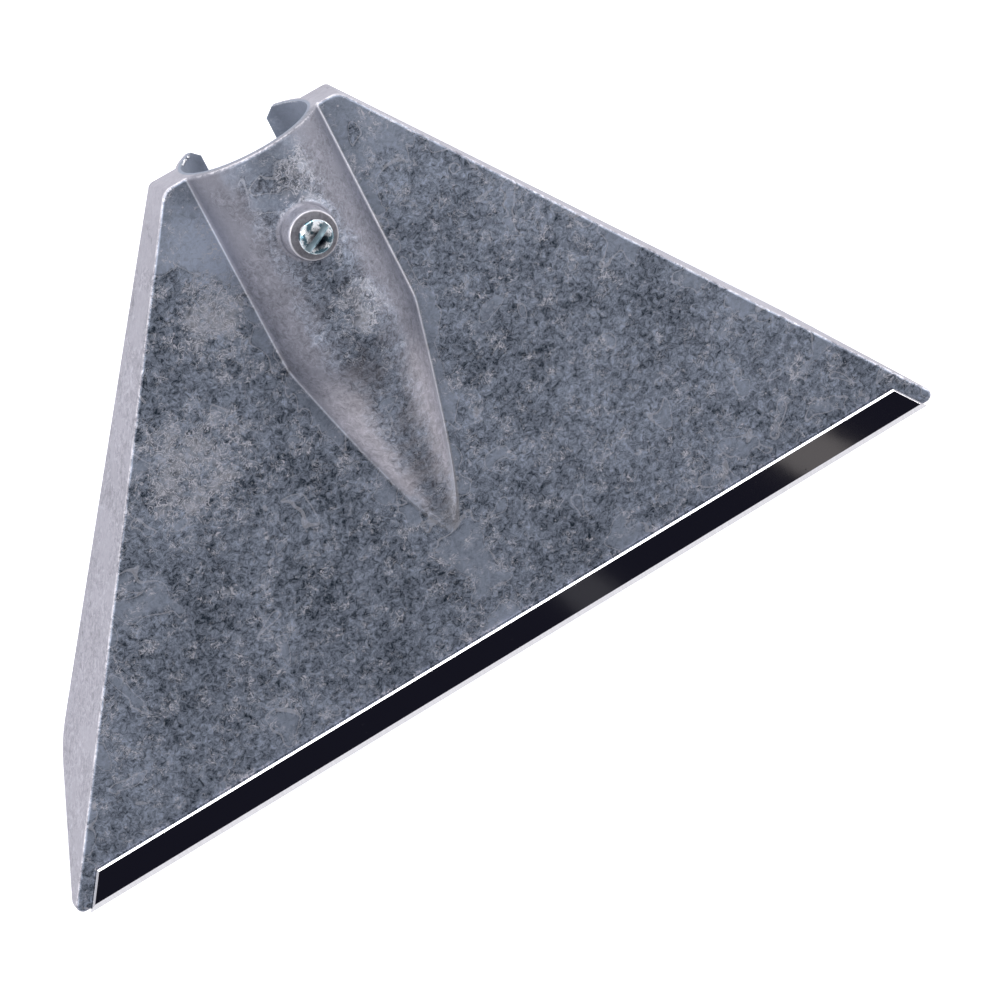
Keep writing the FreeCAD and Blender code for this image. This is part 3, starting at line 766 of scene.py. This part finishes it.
def screw_head(y):
    """Slotted pan head: a short straight side and a domed top, cut across by the slot."""
    bpy.ops.mesh.primitive_cylinder_add(
        vertices=96, radius=HEAD_RADIUS * MM, depth=HEAD_SIDE * MM,
        location=(0, y * MM, (HEAD_SEAT + HEAD_SIDE / 2) * MM),
    )
    head = begin("screw_head")
    pick(head, "faces", lambda f: f.normal.z > 0.9)
    drop = HEAD_CROWN - HEAD_SEAT - HEAD_SIDE
    dome = (HEAD_RADIUS ** 2 + drop ** 2) / (2 * drop)
    radii = [HEAD_RADIUS * (1 - i / HEAD_RINGS) for i in range(HEAD_RINGS)]
    heights = [math.sqrt(dome ** 2 - r ** 2) for r in radii]
    for i in range(1, HEAD_RINGS):
        bpy.ops.mesh.inset(thickness=(radii[i - 1] - radii[i]) * MM, depth=(heights[i] - heights[i - 1]) * MM)
    rim = (HEAD_SEAT + HEAD_SIDE) * MM
    pick(head, "edges", lambda e: all(abs(v.co.z - rim) < CLOSE for v in e.verts))
    bpy.ops.mesh.bevel(offset=HEAD_RIM_BEVEL * MM, segments=2, affect="EDGES")
    bpy.ops.object.mode_set(mode="OBJECT")
    bpy.ops.mesh.primitive_cube_add(
        size=1, location=(0, y * MM, (HEAD_CROWN + (SLOT_ABOVE - SLOT_DEPTH) / 2) * MM),
        rotation=(0, 0, math.radians(SLOT_TURN)),
        scale=Vector((4 * HEAD_RADIUS, SLOT_WIDTH, SLOT_DEPTH + SLOT_ABOVE)) * MM,
    )
    cutter = bpy.context.object
    modifier(head, "BOOLEAN", operation="DIFFERENCE", object=cutter, solver="EXACT")
    bpy.data.objects.remove(cutter)
    return head


def screw_shank(y):
    """Core of the thread, with a chamfered tip."""
    core = THREAD_RADIUS - THREAD_DEPTH
    length = HEAD_SEAT + SHANK_OVERLAP - SCREW_TIP
    bpy.ops.mesh.primitive_cylinder_add(
        vertices=48, radius=core * MM, depth=length * MM,
        location=(0, y * MM, (SCREW_TIP + length / 2) * MM),
    )
    shank = begin("screw_shank")
    pick(shank, "edges", lambda e: all(v.co.z < SCREW_TIP * MM + CLOSE for v in e.verts))
    bpy.ops.mesh.bevel(offset=TIP_CHAMFER * MM, segments=2, affect="EDGES")
    bpy.ops.object.mode_set(mode="OBJECT")
    return shank


def screw_thread(y):
    """One ridge wound round the core, closed at both ends."""
    bpy.ops.mesh.primitive_plane_add(size=1, location=(0, 0, 0), rotation=(math.radians(90), 0, 0))
    ridge = begin("screw_thread")
    bpy.ops.mesh.delete(type="ONLY_FACE")
    width = THREAD_DEPTH + THREAD_SUNK
    foot = THREAD_PITCH * THREAD_FOOT
    halfway = (THREAD_RADIUS - width / 2) * MM
    bpy.ops.mesh.select_all(action="SELECT")
    bpy.ops.transform.resize(value=(width * MM, 1, foot * MM))
    bpy.ops.transform.translate(value=(halfway, 0, 0))
    pick(ridge, "verts", lambda v: v.co.x > halfway)
    bpy.ops.transform.resize(value=(1, 1, THREAD_CREST / foot))
    bpy.ops.object.mode_set(mode="OBJECT")
    turns = int((HEAD_SEAT - SCREW_TIP - THREAD_RUNOUT) / THREAD_PITCH)
    modifier(ridge, "SCREW", axis="Z", screw_offset=THREAD_PITCH * MM, iterations=turns, steps=48,
             render_steps=48, use_merge_vertices=False, use_smooth_shade=True)
    ridge.data.transform(Matrix.Translation(Vector((0, y, SCREW_TIP + THREAD_START)) * MM))
    bpy.ops.object.mode_set(mode="EDIT")
    bpy.ops.mesh.select_all(action="DESELECT")
    bpy.ops.mesh.select_mode(type="EDGE")
    bpy.ops.mesh.select_non_manifold()
    bpy.ops.mesh.edge_face_add()
    bpy.ops.mesh.select_all(action="SELECT")
    bpy.ops.mesh.normals_make_consistent(inside=False)
    bpy.ops.object.mode_set(mode="OBJECT")
    return ridge


def make_screw():
    """The clamp screw: head, core and thread as one piece."""
    clear_selection()
    parts = [screw_head(SCREW_Y), screw_shank(SCREW_Y), screw_thread(SCREW_Y)]
    screw = join(parts, "clamp_screw_threaded")
    finish_piece(screw, materials["zinc_plate"], "screw", smooth=30)
    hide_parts("clamp_screw")


# ---------------------------------------------------------------- casting marks

def make_ejector_marks():
    """Round witness marks of the die's ejector pins: a thin raised border round a lower middle."""
    clear_selection()
    bpy.ops.mesh.primitive_cylinder_add(
        vertices=48, radius=EJECTOR_RADIUS * MM, depth=EJECTOR_THICKNESS * MM,
        location=(0, 0, PLATE_BACK * MM),
    )
    mark = begin("ejector_mark_1")
    pick(mark, "faces", lambda f: f.normal.z < -0.9)
    bpy.ops.mesh.inset(thickness=EJECTOR_BORDER * MM)
    bpy.ops.mesh.inset(thickness=EJECTOR_LIP * MM, depth=-EJECTOR_SUNK * MM)
    bpy.ops.object.mode_set(mode="OBJECT")
    modifier(mark, "BEVEL", width=EJECTOR_EDGE_BREAK * MM, segments=2, limit_method="ANGLE",
             angle_limit=math.radians(30))
    places = [(side * x, y) for x, y in EJECTOR_PLACES for side in (-1, 1)]
    marks = [mark] + [copy_piece(mark, "ejector_mark_" + str(i + 1)) for i in range(1, len(places))]
    for each, (x, y) in zip(marks, places):
        each.data.transform(Matrix.Translation(Vector((x, y, 0)) * MM))
        finish_piece(each, materials["pin_pressed_aluminium"], "head", smooth=30)


def make_ear_scar():
    """Where the feeder was broken off the left ear: a ragged row of small bright facets on its inner edge."""
    draw = random.Random(4)
    chips = []
    clear_selection()
    for i in range(SCAR_CHIPS):
        wrap = math.radians(180 + SCAR_FROM + (SCAR_TO - SCAR_FROM) * i / (SCAR_CHIPS - 1))
        radius = BORE_RADIUS + draw.uniform(-0.1, 0.25)
        size = draw.uniform(0.3, 0.5)
        place = Vector((radius * math.cos(wrap), -draw.uniform(0.2, 0.5), radius * math.sin(wrap)))
        bpy.ops.mesh.primitive_ico_sphere_add(subdivisions=1, radius=size * MM, location=place * MM)
        chip = begin("ear_scar")
        bpy.ops.mesh.select_all(action="SELECT")
        bpy.ops.transform.vertex_random(offset=size * SCAR_ROUGHNESS * MM, seed=i)
        bpy.ops.mesh.bisect(plane_co=(0, SCAR_PLANE * MM, 0), plane_no=(0, 1, 0), clear_outer=True,
                            use_fill=True, threshold=BISECT_SNAP * MM)
        bpy.ops.object.mode_set(mode="OBJECT")
        chips.append(chip)
    scar = join(chips, "ear_scar")
    finish_piece(scar, materials["broken_aluminium"], "head", smooth=1)


materials = {
    "die_cast_aluminium": die_cast_aluminium(),
    "polished_steel": polished_steel(),
    "plain_steel": plain_steel(),
    "zinc_plate": zinc_plate(),
    "broken_aluminium": broken_aluminium(),
    "pin_pressed_aluminium": pin_pressed_aluminium(),
}
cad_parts["cast_body"].material_slots[0].material = materials["die_cast_aluminium"]
make_blade()
make_studs()
make_screw()
make_ejector_marks()
make_ear_scar()
